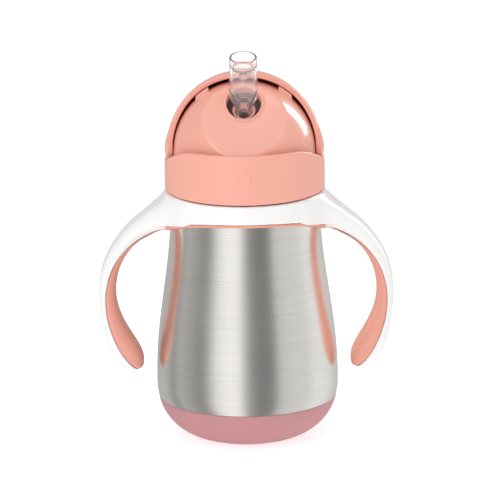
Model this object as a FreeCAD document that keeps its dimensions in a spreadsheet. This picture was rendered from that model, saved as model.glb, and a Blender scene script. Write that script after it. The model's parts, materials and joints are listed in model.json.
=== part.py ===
import FreeCAD, Part
import math
import os
import Sketcher
from FreeCAD import Placement, Rotation, Vector

# A toddler's insulated steel straw cup with two handles. +Z is up, the origin is the centre of
# the foot, and the drinker faces the front, which is -Y. All sizes are in millimetres.

SIZES = {
    # Steel bottle: double wall with a vacuum between the walls
    "steel_wall": 0.6,
    "belly_radius": 40.0,
    "belly_height": 25.3,
    "shoulder_radius": 33.4,
    "shoulder_height": 91.0,
    "waist_top": 108.5,
    "taper": 0.08,
    "neck_radius": 30.2,
    "neck_base": 111.2,
    "rim_height": 124.1,
    "vacuum_gap": 3.4,
    # Soft boot around the foot
    "foot_radius": 20.0,
    "boot_height": 17.8,
    "boot_top_radius": 39.16,
    "boot_corner_radius": 35.7,
    "boot_corner_height": 3.45,
    "boot_wall": 1.2,
    # Screw thread between the neck and the lid
    "thread_pitch": 5.0,
    "thread_rise": 6.5,
    "thread_depth": 0.8,
    "thread_width": 1.6,
    # Handle ring and arms
    "liner_gap": 0.2,
    "liner_wall": 0.7,
    "ring_radius": 34.5,
    "ring_top": 111.3,
    "ring_front_base": 102.9,
    "ring_side_base": 95.0,
    "liner_lip": 1.2,
    "web_depth": 60.0,
    "arm_half": 9.4,
    "grip_depth": 16.4,
    # Lid
    "collar_radius": 35.2,
    "collar_wall": 2.0,
    "collar_base": 111.6,
    "collar_edge": 2.4,
    "pivot_height": 129.8,
    "dome_radius": 31.3,
    "dome_wall": 1.8,
    "dome_height": 127.8,
    "dome_base": 126.9,
    "scoop_tilt": 45.0,
    "scoop_rim": 18.3,
    "scoop_sphere": 70.0,
    "well_tilt": 42.0,
    "well_back": 9.8,
    "well_height": 151.3,
    "well_radius": 7.6,
    "well_depth": 5.0,
    "well_wall": 1.6,
    "spout_hole": 3.8,
    "pad_inner": 15.3,
    "pad_outer": 21.1,
    "pad_radius": 31.25,
    "vent_tilt": 52.0,
    "vent_radius": 2.5,
    # Swinging cover
    "cover_radius": 33.9,
    "cover_wall": 2.3,
    "ear_radius": 5.6,
    "ear_face": 35.0,
    "edge_slope": 23.0,
    "edge_height": 4.2,
    "edge_round": 25.0,
    "edge_gap": 0.35,
    "swing_angle": 80.0,
    "pin_radius": 2.0,
    "pin_reach": 28.7,
    "pin_gap": 0.06,
    # Straw
    "spout_lean": 14.6,
    "spout_length": 23.3,
    "spout_radius": 6.1,
    "spout_waist": 6.2,
    "spout_wall": 1.0,
    "straw_radius": 3.4,
    "straw_bore": 2.2,
    "straw_bend": 18.0,
    "straw_foot": 24.0,
    "weight_radius": 8.0,
}


class Length:
    """A length known both as a number and as the sheet expression that gives it."""

    def __init__(self, value, text):
        self.value = value
        self.text = text

    def combine(self, other, symbol, result):
        other_text = other.text if isinstance(other, Length) else repr(float(other))
        return Length(result, "(%s %s %s)" % (self.text, symbol, other_text))

    def __add__(self, other):
        return self.combine(other, "+", self.value + number(other))

    def __sub__(self, other):
        return self.combine(other, "-", self.value - number(other))

    def __mul__(self, other):
        return self.combine(other, "*", self.value * number(other))


def number(item):
    """The plain number of a length, or of a number itself."""
    return item.value if isinstance(item, Length) else float(item)


doc = FreeCAD.newDocument("straw_cup")
sheet = doc.addObject("Spreadsheet::Sheet", "Sizes")
for row, (alias, value) in enumerate(SIZES.items(), start=1):
    sheet.set("A%d" % row, alias)
    sheet.set("B%d" % row, str(value))
    sheet.setAlias("B%d" % row, alias)
doc.recompute()

L = {alias: Length(value, "Sizes." + alias) for alias, value in SIZES.items()}


# ---------------------------------------------------------------- sketch and feature helpers

def new_body(label):
    body = doc.addObject("PartDesign::Body", label)
    body.Label = label
    doc.recompute()
    return body


def origin_plane(body, role):
    return next(item for item in body.Origin.OriginFeatures if item.Role == role)


def new_sketch(body, role, name):
    sketch = body.newObject("Sketcher::SketchObject", name)
    sketch.AttachmentSupport = [(origin_plane(body, role), "")]
    sketch.MapMode = "FlatFace"
    return sketch


def pin_point(sketch, geometry, position, point):
    """Ties one point of a sketch to the sheet, measured from the sketch's origin."""
    for kind, length in zip(("DistanceX", "DistanceY"), point):
        rule = Sketcher.Constraint(kind, -1, 1, geometry, position, number(length))
        index = sketch.addConstraint(rule)
        if isinstance(length, Length):
            sketch.setExpression("Constraints[%d]" % index, length.text)


def flat(point):
    return Vector(number(point[0]), number(point[1]), 0)


def draw_outline(sketch, start, steps):
    """Draws a closed outline. A step is the next corner, or two handles and the next corner."""
    here = start
    first = previous = None
    for step in steps + [(start,)]:
        corner = step[-1]
        if len(step) == 3:
            poles = [flat(point) for point in (here,) + step]
            curve = Part.BSplineCurve()
            curve.buildFromPolesMultsKnots(poles, [4, 4], [0.0, 1.0], False, 3)
            geometry = sketch.addGeometry(curve, False)
            sketch.exposeInternalGeometry(geometry)
            pin_point(sketch, geometry + 2, 3, step[0])
            pin_point(sketch, geometry + 3, 3, step[1])
        elif flat(here).isEqual(flat(corner), 1e-6):
            continue
        else:
            geometry = sketch.addGeometry(Part.LineSegment(flat(here), flat(corner)), False)
        if previous is None:
            first = geometry
        else:
            sketch.addConstraint(Sketcher.Constraint("Coincident", previous, 2, geometry, 1))
        pin_point(sketch, geometry, 1, here)
        previous = geometry
        here = corner
    sketch.addConstraint(Sketcher.Constraint("Coincident", previous, 2, first, 1))


def add_revolved(body, name, start, steps, kind="PartDesign::Revolution"):
    """Turns an outline of (radius, height) corners about the body's own Z axis."""
    sketch = new_sketch(body, "XZ_Plane", name + "_sketch")
    draw_outline(sketch, start, steps)
    feature = body.newObject(kind, name)
    feature.Profile = sketch
    feature.ReferenceAxis = (sketch, ["V_Axis"])
    feature.Angle = 360.0
    return feature


def revolved(label, start, steps):
    body = new_body(label)
    add_revolved(body, label + "_turn", start, steps)
    return body


def add_thread(body, name, radius, outward, height):
    """A trapezoid ridge that climbs the thread's pitch round a cylinder of the given radius."""
    root = radius - 0.3 * outward
    crest = radius + L["thread_depth"] * outward
    half = L["thread_width"] * 0.5
    tip = L["thread_width"] * 0.25
    sketch = new_sketch(body, "XZ_Plane", name + "_sketch")
    draw_outline(sketch, (root, height - half), [
        ((crest, height - tip),),
        ((crest, height + tip),),
        ((root, height + half),),
    ])
    ridge = body.newObject("PartDesign::AdditiveHelix", name)
    ridge.Profile = sketch
    ridge.ReferenceAxis = (sketch, ["V_Axis"])
    ridge.Mode = 0
    ridge.setExpression("Pitch", "Sizes.thread_pitch")
    ridge.setExpression("Height", "Sizes.thread_rise")
    return ridge


def bind(item, **sizes):
    """Sets properties of a primitive, bound to the sheet where they come from it."""
    for key, length in sizes.items():
        setattr(item, key, number(length))
        if isinstance(length, Length):
            item.setExpression(key, length.text)


def sphere(name, radius, centre):
    item = doc.addObject("Part::Sphere", name)
    bind(item, Radius=radius)
    item.Placement = Placement(centre, Rotation())
    return item


def cylinder(name, radius, height, base, axis):
    item = doc.addObject("Part::Cylinder", name)
    bind(item, Radius=radius, Height=height)
    item.Placement = Placement(base, Rotation(Vector(0, 0, 1), axis))
    return item


def box(name, low, high):
    item = doc.addObject("Part::Box", name)
    bind(item, Length=high[0] - low[0], Width=high[1] - low[1], Height=high[2] - low[2])
    item.Placement = Placement(Vector(*low), Rotation())
    return item


def cut(name, base, tool):
    item = doc.addObject("Part::Cut", name)
    item.Base = base
    item.Tool = tool
    return item


def fuse(name, shapes):
    item = doc.addObject("Part::MultiFuse", name)
    item.Shapes = shapes
    return item


def common(name, shapes):
    item = doc.addObject("Part::MultiCommon", name)
    item.Shapes = shapes
    return item


def solid_feature(label, shape):
    item = doc.addObject("Part::Feature", label)
    item.Shape = shape
    item.Label = label
    item.Placement = Placement()
    return item


def leaning(degrees):
    """The direction that leans forward, towards the drinker, by an angle from straight up."""
    angle = math.radians(degrees)
    return Vector(0, -math.sin(angle), math.cos(angle))


# ---------------------------------------------------------------- steel bottle

WALL = L["steel_wall"]
STEEL_TOP = L["rim_height"] - WALL
WELD_RADIUS = L["foot_radius"] - 0.5
BOOT_SEAT = L["boot_wall"] + 0.1


def steel_side(inset):
    """The long side of the bottle, from the boot's top to the shoulder, moved inwards."""
    belly = L["belly_radius"] - inset
    shoulder = L["shoulder_radius"] - inset
    upper_handle = shoulder + L["taper"] * 24.5
    return [
        ((belly - 0.3, L["boot_height"] + 2.2), (belly, L["belly_height"] - 2.8),
         (belly, L["belly_height"])),
        ((belly, L["belly_height"] + 26.3), (upper_handle, L["shoulder_height"] - 24.5),
         (shoulder, L["shoulder_height"])),
    ]


def backwards(start, steps):
    """The steps of the same outline walked the other way."""
    corners = [start] + [step[-1] for step in steps]
    turned = []
    for index in range(len(steps) - 1, -1, -1):
        handles = tuple(reversed(steps[index][:-1]))
        turned.append(handles + (corners[index],))
    return turned


def make_outer_shell():
    seat = L["boot_top_radius"] - L["boot_wall"] - 0.1
    waist = L["shoulder_radius"] - L["taper"] * 17.5
    neck = L["neck_radius"]
    outside = [
        ((WELD_RADIUS + 2.7, BOOT_SEAT), (L["boot_corner_radius"] - 1.3, BOOT_SEAT + 3.3),
         (seat, L["boot_height"] - 0.05)),
        ((L["boot_top_radius"], L["boot_height"] + 0.05),),
    ]
    outside += steel_side(0.0)
    outside += [
        ((waist, L["waist_top"]),),
        ((waist - 0.1, L["waist_top"] + 2.4), (neck, L["neck_base"] - 0.9),
         (neck, L["neck_base"] + 1.0)),
        ((neck, STEEL_TOP),),
        ((neck - WALL, STEEL_TOP),),
    ]
    inside = [
        ((WELD_RADIUS + 2.6, BOOT_SEAT + WALL), (seat - 4.0, BOOT_SEAT + 3.9),
         (seat - WALL, L["boot_height"] + 0.3)),
        ((L["boot_top_radius"] - WALL, L["boot_height"] + 0.65),),
    ]
    inside += steel_side(WALL)
    inside += [
        ((waist - WALL, L["waist_top"] - 0.4),),
        ((waist - 0.7, L["waist_top"] + 1.8), (neck - WALL, L["neck_base"] - 1.5),
         (neck - WALL, L["neck_base"] + 0.6)),
        ((neck - WALL, STEEL_TOP),),
    ]
    returning = backwards((WELD_RADIUS, BOOT_SEAT + WALL), inside)
    body = revolved("outer_shell", (WELD_RADIUS, BOOT_SEAT), outside + returning)
    add_thread(body, "neck_thread", neck, 1.0, L["neck_base"] + 3.6)
    return body


def make_inner_vessel():
    inset = L["vacuum_gap"] + WALL
    floor = BOOT_SEAT + 4.0
    neck = L["neck_radius"] - WALL - 0.4

    def wall(extra, floor_height):
        belly = L["belly_radius"] - inset - extra
        shoulder = L["shoulder_radius"] - inset + 1.0 - extra
        return [
            ((16.0, floor_height), (belly - 1.0, floor_height),
             (belly, L["belly_height"] - 1.0)),
            ((belly, L["belly_height"] + 24.0), (shoulder + 1.8, L["shoulder_height"] - 24.0),
             (shoulder, L["shoulder_height"])),
            ((shoulder - 0.6, L["shoulder_height"] + 8.0), (neck - extra, 101.0),
             (neck - extra, L["neck_base"])),
        ]

    outside = [((14.0, floor),)] + wall(0.0, floor)
    outside += [
        ((neck, STEEL_TOP + 0.02),),
        ((L["neck_radius"], STEEL_TOP + 0.02),),
        ((L["neck_radius"], L["rim_height"]),),
        ((neck - WALL, L["rim_height"]),),
        ((neck - WALL, L["neck_base"]),),
    ]
    inside = [((14.0, floor + WALL),)] + wall(WALL, floor + WALL)
    returning = backwards((0.0, floor + WALL), inside)
    return revolved("inner_vessel", (0.0, floor), outside + returning)


def make_base_plate():
    top = BOOT_SEAT + WALL
    dimple = 7.0
    hole = 1.2
    return revolved("base_plate", (hole, BOOT_SEAT + 1.2), [
        ((dimple - 1.5, BOOT_SEAT + 1.2),),
        ((dimple, BOOT_SEAT),),
        ((WELD_RADIUS - 0.02, BOOT_SEAT),),
        ((WELD_RADIUS - 0.02, top),),
        ((dimple + 0.4, top),),
        ((dimple - 1.1, top + 1.2),),
        ((hole, top + 1.2),),
    ])


def make_vacuum_seal():
    ceiling = BOOT_SEAT + 1.15
    return revolved("vacuum_seal", (0.0, ceiling - 0.8), [
        ((1.8, ceiling - 0.8), (3.4, ceiling - 0.6), (3.6, ceiling)),
        ((0.0, ceiling),),
    ])


def make_getter_pellet():
    seat = BOOT_SEAT + WALL + 1.25
    return revolved("getter_pellet", (0.0, seat), [
        ((3.2, seat),),
        ((3.2, seat + 1.0),),
        ((0.0, seat + 1.0),),
    ])


def make_base_boot():
    foot = L["foot_radius"]
    inner_top = L["boot_top_radius"] - L["boot_wall"]
    return revolved("base_boot", (0.0, 0.8), [
        ((13.0, 0.8),),
        ((14.5, 0.0),),
        ((foot, 0.0),),
        ((foot + 2.6, 0.0), (L["boot_corner_radius"], L["boot_corner_height"]),
         (L["boot_top_radius"], L["boot_height"])),
        ((inner_top, L["boot_height"]),),
        ((L["boot_corner_radius"] - 1.15, BOOT_SEAT + 3.1), (WELD_RADIUS + 2.8, BOOT_SEAT - 0.08),
         (WELD_RADIUS, BOOT_SEAT - 0.08)),
        ((0.0, BOOT_SEAT - 0.08),),
    ])


# ---------------------------------------------------------------- handles

TIP_JOIN = (50.8, 29.9)
ARM_ROOT = 24.0


def grip_border():
    """The line where the soft grip meets the hard arm, from the arm's tip up to the ring."""
    return [
        ((56.5, 34.5), (62.4, 47.0), (62.4, 62.0)),
        ((62.4, 76.0), (56.0, 86.0), (45.0, 92.6)),
        ((42.0, 94.4), (38.5, 95.0), (34.0, 95.0)),
    ]


def add_arm(body, name, outline, depth):
    """One arm, drawn from the front and as deep as given, half to each side of the middle."""
    sketch = new_sketch(body, "XZ_Plane", name + "_sketch")
    draw_outline(sketch, outline[-1][-1], outline)
    pad = body.newObject("PartDesign::Pad", name)
    pad.Profile = sketch
    pad.setExpression("Length", depth.text)
    pad.SideType = "Symmetric"
    doc.recompute()
    return pad


def waist_radius(height, offset):
    """Radius of a cone that runs parallel to the steel waist, at a height."""
    return L["shoulder_radius"] - L["taper"] * (height - 91.0) + offset


def add_ring_bore(body, name, offset):
    """Cuts a tapered bore that follows the steel waist."""
    return add_revolved(body, name, (0.0, 80.0), [
        ((waist_radius(80.0, offset), 80.0),),
        ((waist_radius(120.0, offset), 120.0),),
        ((0.0, 120.0),),
    ], "PartDesign::Groove")


def add_saddle(body, name, drop):
    """Raises the ring's lower edge at the front and the back, between the two arms."""
    side = L["ring_side_base"] - drop
    front = L["ring_front_base"] - drop
    for sign in (-1.0, 1.0):
        sketch = new_sketch(body, "YZ_Plane", "%s_%s" % (name, "front" if sign < 0 else "back"))
        draw_outline(sketch, (9.4 * sign, 85.0), [
            ((9.4 * sign, side),),
            ((17.0 * sign, side + 3.2), (25.0 * sign, front - 1.0), (36.0 * sign, front)),
            ((50.0 * sign, front),),
            ((50.0 * sign, 85.0),),
        ])
        pocket = body.newObject("PartDesign::Pocket", sketch.Name + "_cut")
        pocket.Profile = sketch
        pocket.Type = "ThroughAll"
        pocket.SideType = "Symmetric"
    return pocket


def trim_web(body, sign):
    """Narrows the arm, seen from above, from a web that leaves the ring along its tangent."""
    tangent = L["ring_radius"] * math.sqrt(2.0)
    half = L["arm_half"]
    sketch = new_sketch(body, "XY_Plane", "web_%s" % ("front" if sign < 0 else "back"))
    draw_outline(sketch, (ARM_ROOT, (tangent - ARM_ROOT) * sign), [
        ((34.0, (tangent - 34.0) * sign),),
        ((38.0, (tangent - 38.0) * sign), (44.0, (half + 0.3) * sign), (50.0, half * sign)),
        ((70.0, (half - 0.8) * sign),),
        ((70.0, 50.0 * sign),),
        ((ARM_ROOT, 50.0 * sign),),
    ])
    pocket = body.newObject("PartDesign::Pocket", sketch.Name + "_cut")
    pocket.Profile = sketch
    pocket.Type = "ThroughAll"
    pocket.SideType = "Symmetric"
    return pocket


def make_handle_frame():
    body = new_body("handle_frame")
    outer_side = [
        ((34.9, 110.4),),
        ((35.9, 108.2), (37.2, 107.1), (38.8, 105.8)),
        ((42.2, 103.1), (45.7, 100.3), (49.1, 97.6)),
        ((56.5, 91.2), (64.9, 79.5), (64.9, 66.0)),
        ((64.9, 55.0), (62.5, 44.0), (59.6, 37.5)),
        ((57.6, 33.0), (54.5, 29.6), (51.0, 29.3)),
    ]
    outline = outer_side + [(TIP_JOIN,)] + grip_border() + [
        ((ARM_ROOT, 95.0),),
        ((ARM_ROOT, 110.4),),
    ]
    arm = add_arm(body, "arm", outline, L["web_depth"])
    sides = [trim_web(body, sign) for sign in (-1.0, 1.0)]
    mirrored = body.newObject("PartDesign::Mirrored", "arm_pair")
    mirrored.Originals = [arm] + sides
    mirrored.MirrorPlane = (origin_plane(body, "YZ_Plane"), [""])
    body.Tip = mirrored
    add_revolved(body, "ring", (28.0, L["ring_side_base"] - 0.6), [
        ((L["ring_radius"], L["ring_side_base"] - 0.6),),
        ((L["ring_radius"], L["ring_top"]),),
        ((28.0, L["ring_top"]),),
    ])
    doc.recompute()
    add_ring_bore(body, "ring_bore", L["liner_gap"] + L["liner_wall"])
    add_saddle(body, "ring_saddle", 0.0)
    return body


def make_ring_liner():
    body = new_body("ring_liner")
    base = L["ring_side_base"] - L["liner_lip"]
    top = L["ring_top"] - 0.3
    outer = L["liner_gap"] + L["liner_wall"] - 0.02
    add_revolved(body, "liner", (28.0, base), [
        ((waist_radius(95.0, outer), base),),
        ((waist_radius(111.0, outer), top),),
        ((28.0, top),),
    ])
    doc.recompute()
    add_ring_bore(body, "liner_bore", L["liner_gap"])
    add_saddle(body, "liner_saddle", L["liner_lip"])
    return body


def make_grip(label, turned):
    body = new_body(label)
    inner_side = [
        ((34.0, 93.6),),
        ((38.0, 93.4), (41.0, 92.8), (44.0, 91.2)),
        ((51.0, 87.5), (57.4, 78.0), (57.4, 65.0)),
        ((57.4, 50.5), (46.2, 41.5), (45.7, 34.8)),
        ((45.4, 30.6), (47.8, 28.9), TIP_JOIN),
    ]
    outline = grip_border() + [((ARM_ROOT, 95.0),), ((ARM_ROOT, 93.6),)] + inner_side
    add_arm(body, label + "_pad", outline, L["grip_depth"])
    add_ring_bore(body, label + "_bore", L["liner_gap"] + L["liner_wall"])
    body.Placement = Placement(Vector(), Rotation(Vector(0, 0, 1), turned))
    return body


# ---------------------------------------------------------------- lid

PIVOT = Vector(0, 0, SIZES["pivot_height"])
DOME_CENTRE = Vector(0, 0, SIZES["dome_height"])
WELL_AXIS = leaning(SIZES["well_tilt"])
WELL_MOUTH = Vector(0, -SIZES["well_back"], SIZES["well_height"])
SIDEWAYS = Vector(1, 0, 0)
FAR = 60.0


def edge_points(gap):
    """Corners of the collar's front edge, as (forward, up) from the pivot, moved down by a gap.

    A short arc about the pivot runs into a slope, a wide round and a level front.
    """
    slope = math.radians(SIZES["edge_slope"])
    ear = SIZES["ear_radius"] + gap
    level = SIZES["edge_height"] - gap
    bend = SIZES["edge_round"] - gap
    along = (math.cos(slope), math.sin(slope))
    start = (ear * math.sin(slope), -ear * math.cos(slope))
    reach = (level - start[1]) / along[1]
    corner = (start[0] + reach * along[0], level)
    back = bend * math.tan(slope / 2)
    bend_start = (corner[0] - back * along[0], corner[1] - back * along[1])
    bend_end = (corner[0] + back, level)
    bend_middle = (bend_end[0] - bend * math.sin(slope / 2),
                   level - bend + bend * math.cos(slope / 2))
    return start, bend_start, bend_middle, bend_end, (FAR, level)


def in_space(point, turn=0.0, side=-1.0):
    """Puts a (forward, up) point in the YZ plane, turned back about the pivot by an angle."""
    angle = math.radians(turn)
    forward = point[0] * math.cos(angle) - point[1] * math.sin(angle)
    up = point[0] * math.sin(angle) + point[1] * math.cos(angle)
    return PIVOT + Vector(0, side * forward, up)


def edge_curve(gap, turn, side):
    """The edge as a line, a round and a line, from beside the pivot outwards."""
    start, bend_start, bend_middle, bend_end, end = [
        in_space(point, turn, side) for point in edge_points(gap)]
    return [
        Part.LineSegment(start, bend_start).toShape(),
        Part.Arc(bend_start, bend_middle, bend_end).toShape(),
        Part.LineSegment(bend_end, end).toShape(),
    ]


def slab(edges, half_width):
    """A flat outline in the YZ plane, extended to both sides of the cup."""
    wire = Part.Wire(Part.__sortEdges__(edges))
    face = Part.Face(wire)
    face.translate(Vector(-half_width, 0, 0))
    return face.extrude(Vector(2 * half_width, 0, 0))


def polyline(points):
    return [Part.LineSegment(a, b).toShape() for a, b in zip(points, points[1:])]


def collar_cutter():
    """Everything above the collar's top edge, with room for the cover's ears."""
    gap = SIZES["edge_gap"]
    front = edge_curve(gap, 0.0, -1.0)
    back = edge_curve(gap, 0.0, 1.0)
    ear = SIZES["ear_radius"] + gap
    start = edge_points(gap)[0]
    arc = Part.Arc(in_space(start, 0.0, -1.0), PIVOT - Vector(0, 0, ear),
                   in_space(start, 0.0, 1.0)).toShape()
    level = edge_points(gap)[-1]
    top = polyline([
        in_space(level, 0.0, -1.0),
        PIVOT + Vector(0, -FAR, FAR),
        PIVOT + Vector(0, FAR, FAR),
        in_space(level, 0.0, 1.0),
    ])
    return slab(front + back + [arc] + top, FAR)


def cover_prism():
    """The cover's side view when it is open: its front edge has swung back by the full angle."""
    swing = SIZES["swing_angle"]
    front = edge_curve(0.0, swing, -1.0)
    back = edge_curve(0.0, 0.0, 1.0)
    start, end = edge_points(0.0)[0], edge_points(0.0)[-1]
    middle = math.radians(swing / 2)
    ear = SIZES["ear_radius"]
    low = PIVOT + Vector(0, -ear * math.sin(middle), -ear * math.cos(middle))
    arc = Part.Arc(in_space(start, swing, -1.0), low, in_space(start, 0.0, 1.0)).toShape()
    top = polyline([
        in_space(end, swing, -1.0),
        PIVOT + Vector(0, FAR, FAR),
        in_space(end, 0.0, 1.0),
    ])
    return slab(front + back + [arc] + top, FAR)


def make_lid_collar():
    inner = L["collar_radius"] - L["collar_wall"]
    edge = L["collar_edge"]
    base = L["collar_base"]
    top = L["pivot_height"] + L["edge_height"] + 2.0
    blank = revolved("collar_blank", (inner, base + 0.6), [
        ((inner + 0.4, base),),
        ((inner + 0.6, base),),
        ((L["collar_radius"] - 0.6, base), (L["collar_radius"], base + edge * 0.4),
         (L["collar_radius"], base + edge)),
        ((L["collar_radius"], top),),
        ((inner, top),),
    ])
    cutter = solid_feature("collar_cutter", collar_cutter())
    collar = cut("collar_cut", blank, cutter)
    collar.Label = "lid_collar"
    return collar


def make_threaded_insert():
    inner = 31.3
    skirt = L["collar_radius"] - L["collar_wall"] - 0.1
    step = 123.2
    roof = L["dome_base"] - 1.6
    body = revolved("threaded_insert", (inner, L["collar_base"] + 0.2), [
        ((skirt, L["collar_base"] + 0.2),),
        ((skirt, step),),
        ((31.2, step),),
        ((31.2, L["dome_base"] - 0.02),),
        ((25.5, L["dome_base"] - 0.02),),
        ((25.5, roof),),
        ((30.6, roof),),
        ((30.6, step - 0.6),),
        ((inner, step - 0.6),),
    ])
    under = L["thread_width"] + 0.15
    add_thread(body, "skirt_thread", Length(inner, "31.3"), -1.0,
               L["neck_base"] + 3.6 - under)
    return body


def make_dome():
    radius = SIZES["dome_radius"]
    wall = L["dome_wall"]
    shell = sphere("dome_outside", L["dome_radius"], DOME_CENTRE)
    hollow = sphere("dome_inside", L["dome_radius"] - wall, DOME_CENTRE)
    rim = SIZES["scoop_rim"]
    reach = math.sqrt(radius ** 2 - rim ** 2) + math.sqrt(SIZES["scoop_sphere"] ** 2 - rim ** 2)
    centre = DOME_CENTRE + leaning(SIZES["scoop_tilt"]) * reach
    scoop = sphere("scoop_tool", L["scoop_sphere"], centre)
    lining = sphere("scoop_lining", L["scoop_sphere"] + wall, centre)
    outside = cut("dome_scooped", shell, scoop)
    inside = cut("dome_hollow", hollow, lining)
    well_bottom = WELL_MOUTH - WELL_AXIS * (SIZES["well_depth"] + SIZES["well_wall"])
    tall = SIZES["well_depth"] + SIZES["well_wall"] + 6.0
    boss = cylinder("well_boss", L["well_radius"] + 1.4, tall, well_bottom, WELL_AXIS)
    well = cylinder("well_bore", L["well_radius"], 20.0,
                    WELL_MOUTH - WELL_AXIS * SIZES["well_depth"], WELL_AXIS)
    hole = cylinder("spout_hole", L["spout_hole"], 30.0, WELL_MOUTH - WELL_AXIS * 15.0, WELL_AXIS)
    trimmed_boss = common("well_boss_trimmed", [boss, outside])
    shell_wall = cut("dome_wall_raw", outside, inside)
    pads = [guide_pad(sign) for sign in (-1.0, 1.0)]
    blank = fuse("dome_blank", [shell_wall, trimmed_boss] + pads)
    half = 70.0
    below = box("dome_below", (-half, -half, 60.0), (half, half, SIZES["dome_base"]))
    pin_bore = cylinder("pin_bore", L["pin_radius"] + L["pin_gap"], 80.0,
                        PIVOT - SIDEWAYS * 40.0, SIDEWAYS)
    vent_axis = leaning(-SIZES["vent_tilt"])
    vent = cylinder("vent_hole", L["vent_radius"], 8.0, DOME_CENTRE + vent_axis * 26.0, vent_axis)
    bores = fuse("dome_bores", [well, hole, below, pin_bore, vent])
    dome = cut("dome_cut", blank, bores)
    dome.Label = "dome"
    return dome


def guide_pad(sign):
    """A raised band beside the crest that keeps the cover centred as it swings."""
    side = "left" if sign < 0 else "right"
    ball = sphere("pad_ball_" + side, L["pad_radius"], PIVOT)
    low, high = SIZES["pad_inner"], SIZES["pad_outer"]
    left = low if sign > 0 else -high
    block = box("pad_block_" + side, (left, -3.0, 142.0), (left + high - low, 24.0, 165.0))
    core = sphere("pad_core_" + side, L["dome_radius"] - 1.0, DOME_CENTRE)
    return cut("pad_" + side, common("pad_raw_" + side, [ball, block]), core)


def make_cover():
    outer = sphere("cover_outside", L["cover_radius"], PIVOT)
    inner = sphere("cover_inside", L["cover_radius"] - L["cover_wall"], PIVOT)
    shell = cut("cover_shell", outer, inner)
    prism = solid_feature("cover_side_view", cover_prism())
    face = L["cover_radius"] - L["cover_wall"] + 0.05
    ears = [ear_block("ear", L["ear_radius"], face, L["ear_face"], sign) for sign in (-1.0, 1.0)]
    flats = cylinder("ear_flat", L["ear_radius"] + 1.6, 2 * number(face),
                     PIVOT - SIDEWAYS * number(face), SIDEWAYS)
    pins = [ear_block("pin", L["pin_radius"], L["pin_reach"], face + 0.5, sign)
            for sign in (-1.0, 1.0)]
    visor = common("cover_visor", [shell, prism])
    flattened = cut("cover_flattened", visor, flats)
    cover = fuse("cover_fuse", [flattened] + ears + pins)
    cover.Label = "slide_cover"
    return cover


def ear_block(name, radius, near, far, sign):
    """A round block on the pivot axis, from one distance beside the middle to another."""
    side = "left" if sign < 0 else "right"
    return cylinder("%s_%s" % (name, side), radius, far - number(near),
                    PIVOT + SIDEWAYS * (sign * number(near)), SIDEWAYS * sign)


def make_vent_valve():
    axis = leaning(-SIZES["vent_tilt"])
    body = revolved("vent_valve", (0.0, 28.0), [
        ((3.6, 28.3),),
        ((3.6, 29.1),),
        ((L["vent_radius"] - 0.05, 29.3),),
        ((L["vent_radius"] - 0.05, 31.0),),
        ((0.0, 31.2),),
    ])
    body.Placement = Placement(DOME_CENTRE, Rotation(Vector(0, 0, 1), axis))
    return body


def make_lid_gasket():
    low = L["rim_height"] + 0.05
    high = L["dome_base"] - 1.65
    return revolved("lid_gasket", (28.2, low + 0.2), [
        ((28.5, low),),
        ((30.1, low),),
        ((30.4, low + 0.3),),
        ((30.4, high - 0.2),),
        ((30.2, high),),
        ((28.4, high),),
        ((28.2, high - 0.2),),
    ])


# ---------------------------------------------------------------- straw

def make_spout_base():
    neck = L["spout_hole"] - 0.1
    bore = L["straw_bore"]
    socket = L["straw_radius"] + 0.05
    floor = L["well_depth"] * -1.0
    under = floor - L["well_wall"]
    body = revolved("spout_base", (bore, -2.6), [
        ((3.6, -2.6),),
        ((3.6, floor + 1.1),),
        ((5.0, floor + 1.1),),
        ((5.0, floor + 0.05),),
        ((neck, floor + 0.05),),
        ((neck, under - 0.05),),
        ((5.4, under - 0.05),),
        ((5.4, under - 1.4),),
        ((4.6, -13.0),),
        ((socket, -13.0),),
        ((socket, -9.0),),
        ((bore, -9.0),),
    ])
    body.Placement = Placement(WELL_MOUTH, Rotation(Vector(0, 0, 1), WELL_AXIS))
    return body


def make_spout_tip():
    tip = L["spout_length"]
    waist = L["spout_waist"]
    lip = L["spout_radius"]
    wall = L["spout_wall"]
    bore = L["straw_bore"]
    body = revolved("spout_tip", (bore, -0.9), [
        ((bore + 0.8, -0.9),),
        ((bore + 0.9, 2.5), (waist, 3.6), (waist, 8.0)),
        ((waist, 13.0), (lip, 16.0), (lip, tip - 0.5)),
        ((lip, tip - 0.1), (lip - 0.2, tip), (lip - wall * 0.5, tip)),
        ((lip - wall, tip),),
        ((lip - wall, tip - 3.7),),
        ((0.5, tip - 10.8),),
        ((0.5, tip - 11.8),),
        ((lip - wall + 0.1, tip - 5.6),),
        ((waist - wall, 13.0), (waist - wall, 11.0), (waist - wall, 8.0)),
        ((waist - wall, 5.0), (bore, 4.0), (bore, 0.5)),
    ])
    body.Placement = Placement(WELL_MOUTH,
                               Rotation(Vector(0, 0, 1), leaning(SIZES["spout_lean"])))
    return body


def straw_line():
    """Centre line of the dip straw: out of the spout's socket, one bend, then straight down."""
    start = WELL_MOUTH - WELL_AXIS * 9.05
    bend_start = WELL_MOUTH - WELL_AXIS * 14.05
    radius = SIZES["straw_bend"]
    tilt = math.radians(SIZES["well_tilt"])
    centre = bend_start + Vector(0, -math.cos(tilt), -math.sin(tilt)) * radius
    bend_end = centre + Vector(0, radius, 0)
    middle = centre + Vector(0, math.cos(tilt / 2), math.sin(tilt / 2)) * radius
    foot = Vector(0, bend_end.y, SIZES["straw_foot"] - 0.4)
    return start, bend_start, middle, bend_end, foot


STRAW_Y = straw_line()[-1].y


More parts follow.
